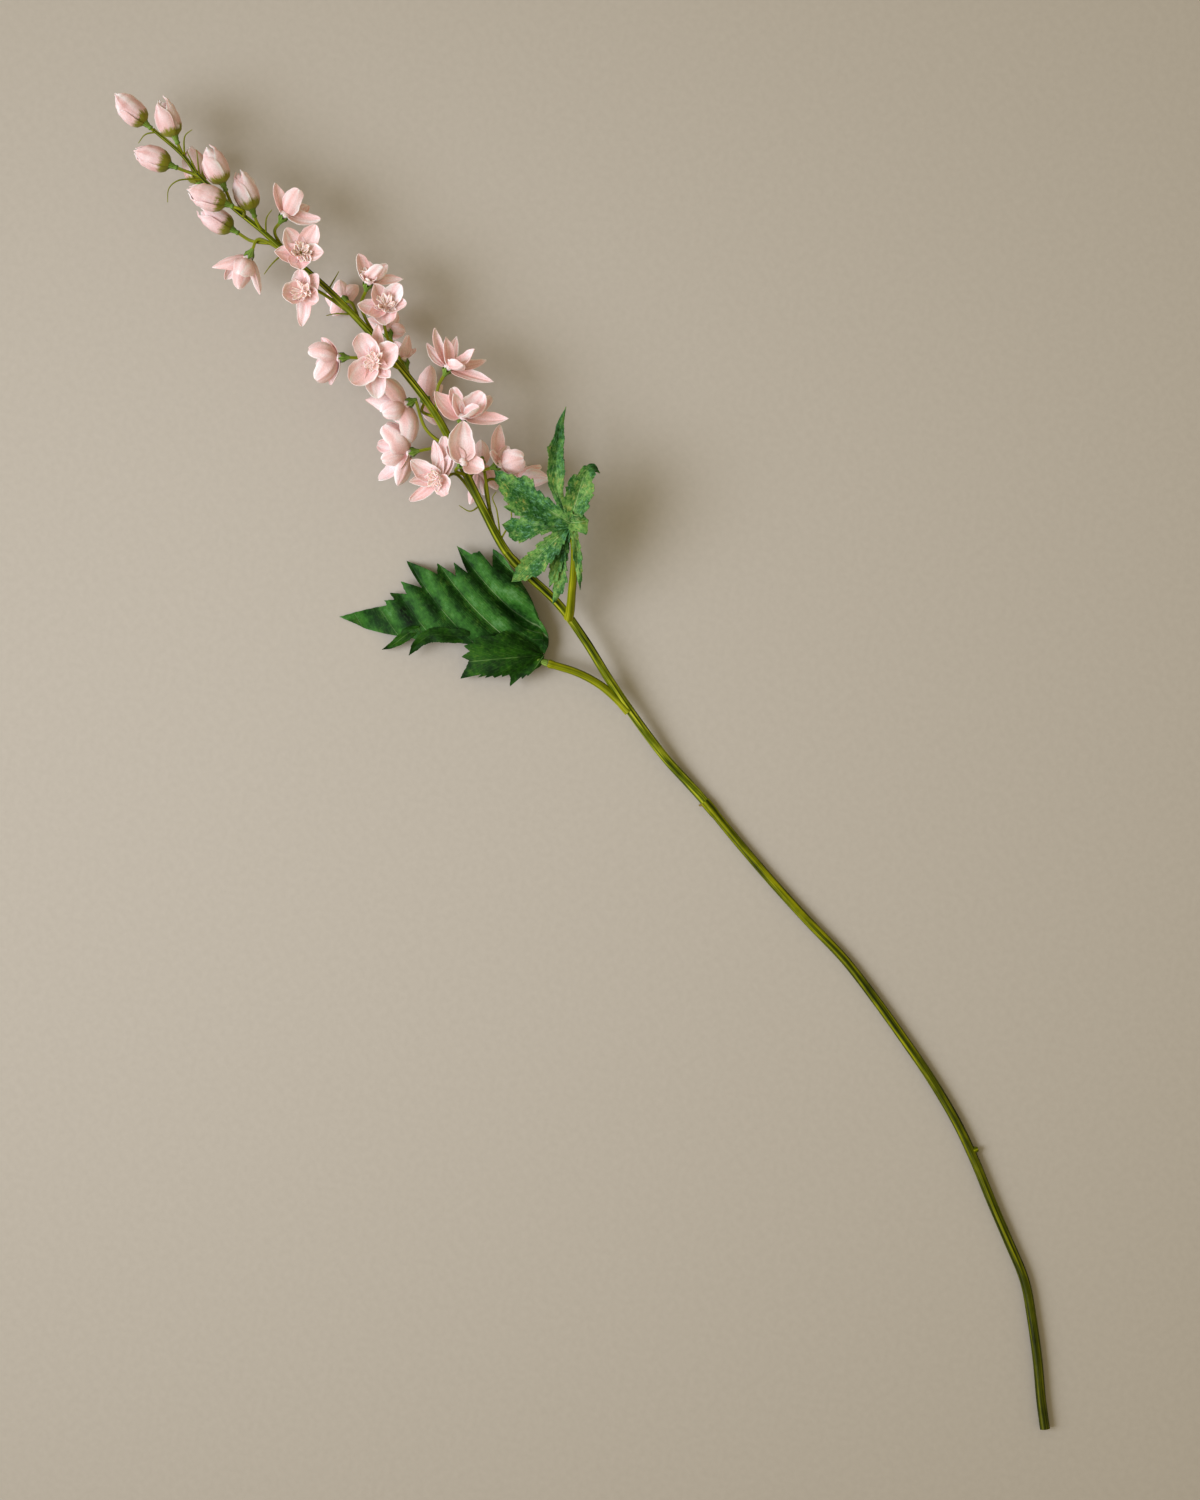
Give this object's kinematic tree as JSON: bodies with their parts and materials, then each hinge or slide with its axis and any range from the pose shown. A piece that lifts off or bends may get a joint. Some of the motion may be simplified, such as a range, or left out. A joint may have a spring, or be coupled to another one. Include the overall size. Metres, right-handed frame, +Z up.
{
  "type": "artificial larkspur stem",
  "caption": "Artificial larkspur stem lying down: a curved green stem with a spike of pale pink buds and open flowers, and toothed leaves on stalks.",
  "frame": {"origin": "middle of the bounding box on the surface that the stem lies on", "axes": "+X along the stem from the cut end to the spike's end bud, +Z up from the surface, +Y to the side of the lower leaf"},
  "size_m": [0.8692, 0.1644, 0.0565],
  "materials": {
    "stem": "moulded olive-green plastic, satin, faintly ridged",
    "spike_green": "moulded yellow-green plastic with blue-green collars, satin",
    "stalk": "moulded yellow-olive plastic, satin",
    "leaf": "printed woven fabric, mottled green, pressed veins",
    "petal": "thin pale pink fabric, deeper in the folds, paler at the edges",
    "stamen": "near-white moulded filaments with small dark pink dots"
  },
  "bodies": {
    "root": {"lower_stem": "stem", "upper_stem": "stem", "spike_axis": "spike_green", "lower_leaf_stalk": "stalk", "upper_leaf_stalk": "stalk", "lower_leaf": "leaf", "upper_leaf": "leaf", "bud_1": "petal", "bud_2": "petal", "bud_3": "petal", "bud_4": "petal", "bud_5": "petal", "bud_6": "petal", "bud_7": "petal", "bud_8": "petal", "flower_1": "petal", "flower_2": "petal", "flower_3": "petal", "flower_4": "petal", "flower_5": "petal", "flower_6": "petal", "flower_7": "petal", "flower_8": "petal", "flower_9": "petal", "flower_10": "petal", "flower_11": "petal", "flower_12": "petal", "flower_13": "petal", "flower_14": "petal", "flower_15": "petal", "flower_16": "petal", "flower_17": "petal", "flower_18": "petal", "flower_19": "petal", "flower_20": "petal", "flower_21": "petal", "stamens_2": "stamen", "stamens_4": "stamen", "stamens_6": "stamen", "stamens_7": "stamen", "stamens_10": "stamen", "stamens_13": "stamen"}
  },
  "joints": []
}
